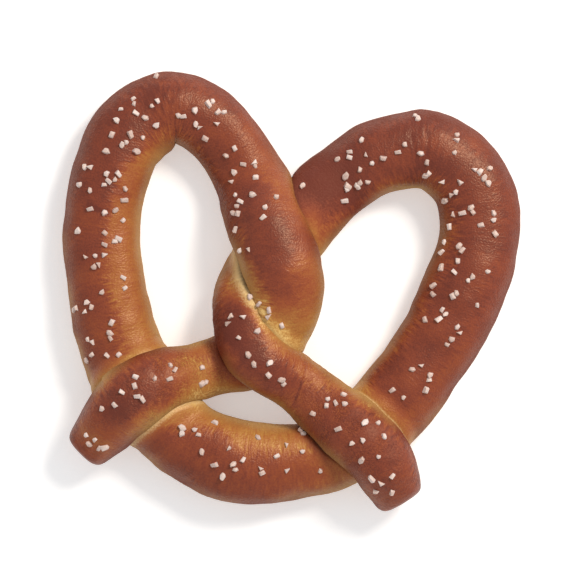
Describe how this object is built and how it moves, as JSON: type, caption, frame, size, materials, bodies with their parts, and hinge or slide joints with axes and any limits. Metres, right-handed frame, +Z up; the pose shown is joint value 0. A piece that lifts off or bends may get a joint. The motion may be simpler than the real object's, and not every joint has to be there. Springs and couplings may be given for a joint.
{
  "type": "soft pretzel",
  "caption": "Baked soft pretzel: one plump dough rope in two open loops, twisted in the middle, its ends laid over the belly, flat underneath.",
  "frame": {"origin": "under the middle of the pretzel's box, on the flat underside that stood on the baking tray", "axes": "+Z up from the tray; +Y from the belly, where the ends lie, to the crowns of the two loops; +X to the right seen from above"},
  "size_m": [0.1302, 0.1196, 0.0247],
  "materials": {
    "crust": "satin",
    "salt": "satin"
  },
  "bodies": {
    "root": {"pretzel": "crust"}
  },
  "joints": []
}
